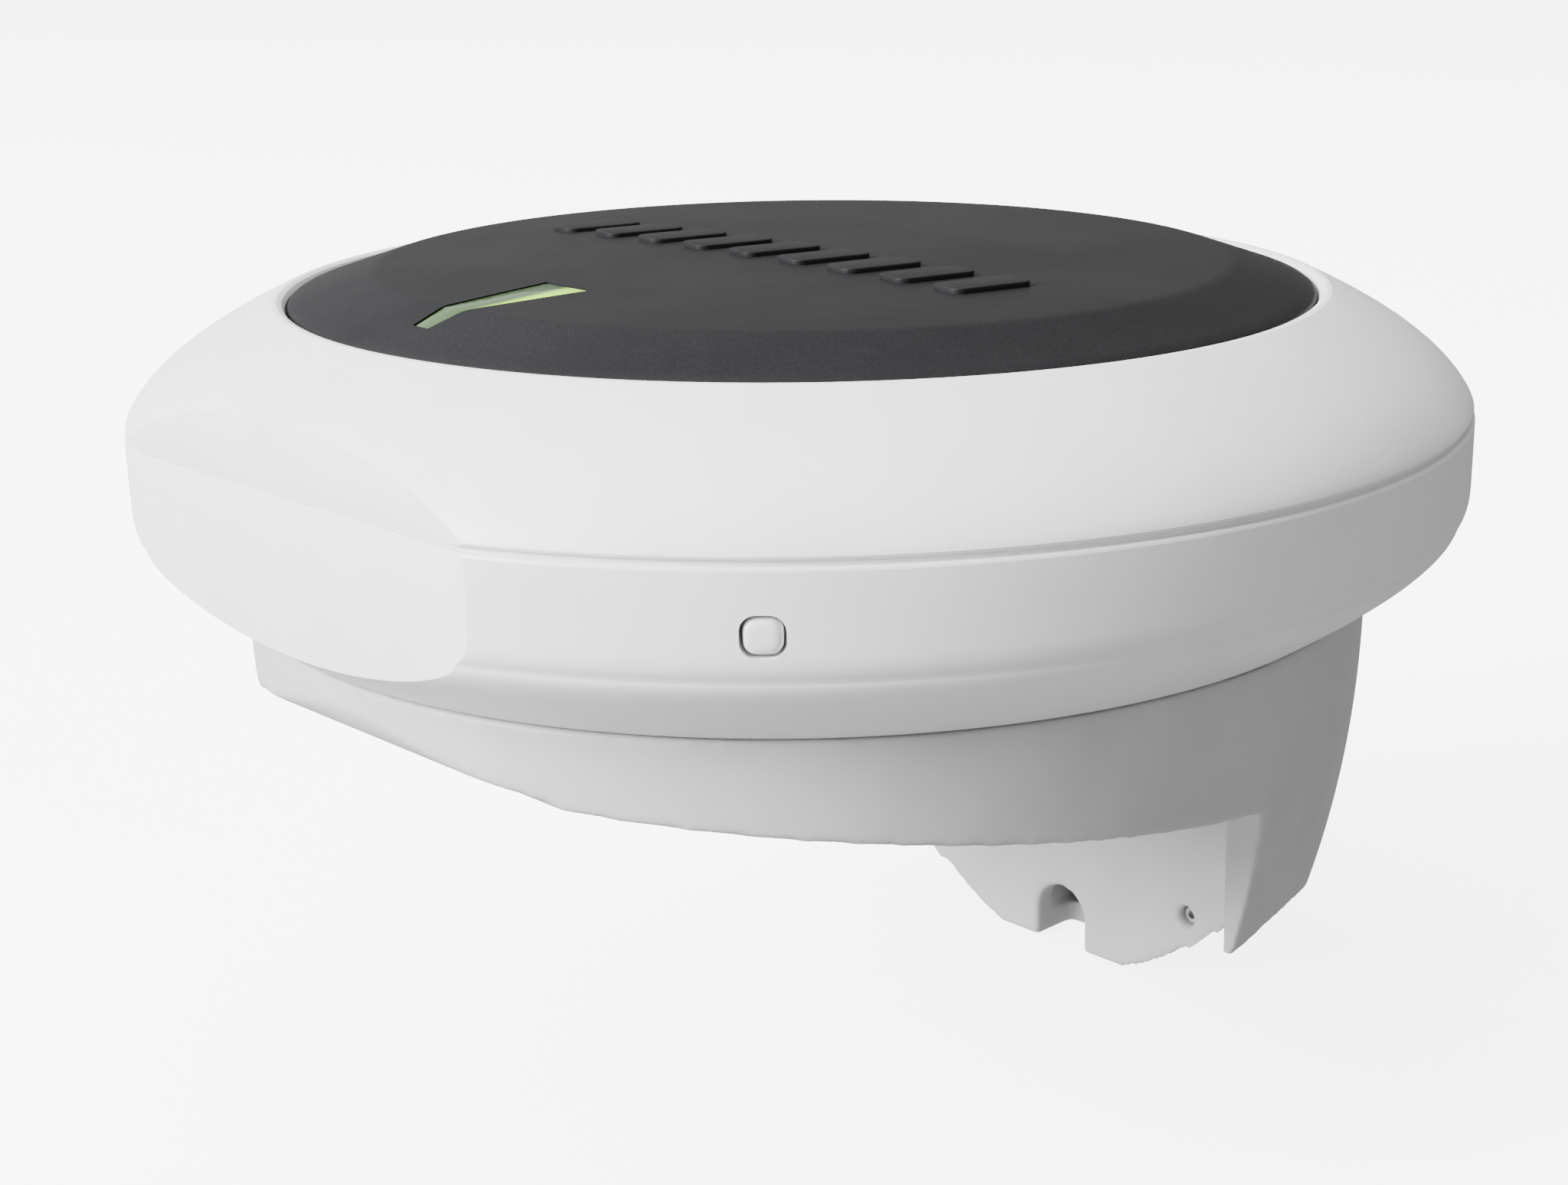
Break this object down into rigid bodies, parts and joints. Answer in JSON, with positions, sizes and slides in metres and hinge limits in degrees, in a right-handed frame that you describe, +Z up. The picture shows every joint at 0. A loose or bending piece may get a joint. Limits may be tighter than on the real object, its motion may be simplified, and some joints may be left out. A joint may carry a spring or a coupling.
{
  "type": "gnss receiver",
  "caption": "Round white satellite heading sensor with a dark radome cap, twist-locked on a moulded bracket that screws flat to a wall or mast plate.",
  "frame": {"origin": "centre of the bracket's flat wall face", "axes": "+Y points out of the wall face, into the wall; +Z is up, along the head's axis; +X is to the right when looking at the head's flat front"},
  "size_m": [0.1398, 0.1363, 0.094],
  "materials": {
    "shell_plastic": "white moulded plastic, satin with a very fine texture",
    "cap_plastic": "near-black moulded plastic, fine matt grain",
    "light_lens": "translucent grey-green, lit yellow-green at its edge",
    "button_plastic": "white moulded plastic, satin",
    "spring_steel": "bright spring steel",
    "seal_rubber": "black silicone rubber, matt",
    "circuit_board": "green solder mask",
    "screw_steel": "stainless steel, machined",
    "plate_metal": "tinned sheet metal",
    "brass": "plated brass, machined",
    "ceramic": "unglazed ceramic",
    "black_plastic": "black glass-filled plastic, matt",
    "insert_plastic": "dark grey moulded plastic",
    "bracket_plastic": "light grey-white moulded plastic, satin"
  },
  "bodies": {
    "bracket": {"wall_bracket": "bracket_plastic", "lock_tray": "black_plastic", "tray_screw_1": "screw_steel", "tray_screw_2": "screw_steel", "tray_screw_3": "screw_steel", "rim_seal": "seal_rubber", "wall_screw_1": "screw_steel", "wall_screw_2": "screw_steel", "set_screw": "screw_steel"},
    "head": {"upper_cover": "shell_plastic", "lower_housing": "shell_plastic", "radome_cap": "cap_plastic", "light_pipe": "light_lens", "button_spring": "spring_steel", "cover_seal": "seal_rubber", "main_board": "circuit_board", "board_screw_1": "screw_steel", "board_screw_2": "screw_steel", "board_screw_3": "screw_steel", "antenna_ground_plate": "plate_metal", "antenna_standoff_1": "brass", "antenna_standoff_2": "brass", "antenna_standoff_3": "brass", "antenna_patch": "ceramic", "antenna_electrode": "plate_metal", "motion_sensor": "plate_metal", "shield_can": "plate_metal", "backup_cell": "plate_metal", "status_lamp": "ceramic", "housing_screw_1": "screw_steel", "housing_screw_2": "screw_steel", "housing_screw_3": "screw_steel", "housing_screw_4": "screw_steel", "connector_shell": "black_plastic", "connector_insert": "insert_plastic", "connector_nut": "brass", "connector_seal": "seal_rubber", "connector_pin_1": "brass", "connector_pin_2": "brass", "connector_pin_3": "brass", "connector_pin_4": "brass", "connector_pin_5": "brass"},
    "button": {"lock_button": "button_plastic"}
  },
  "joints": [
    {"name": "head_twist", "type": "hinge", "parent": "bracket", "child": "head", "pos_m": [0, -0.0721, 0.03005], "axis": [0, 0, 1], "range_deg": [0, 36]},
    {"name": "lock_button_press", "type": "slide", "parent": "head", "child": "button", "axis": [-0.6947, 0.7193, 0], "range_m": [0, 0.0015], "stiffness_N_per_m": 800, "springref_m": -0.001, "deforming": ["button_spring"]}
  ]
}
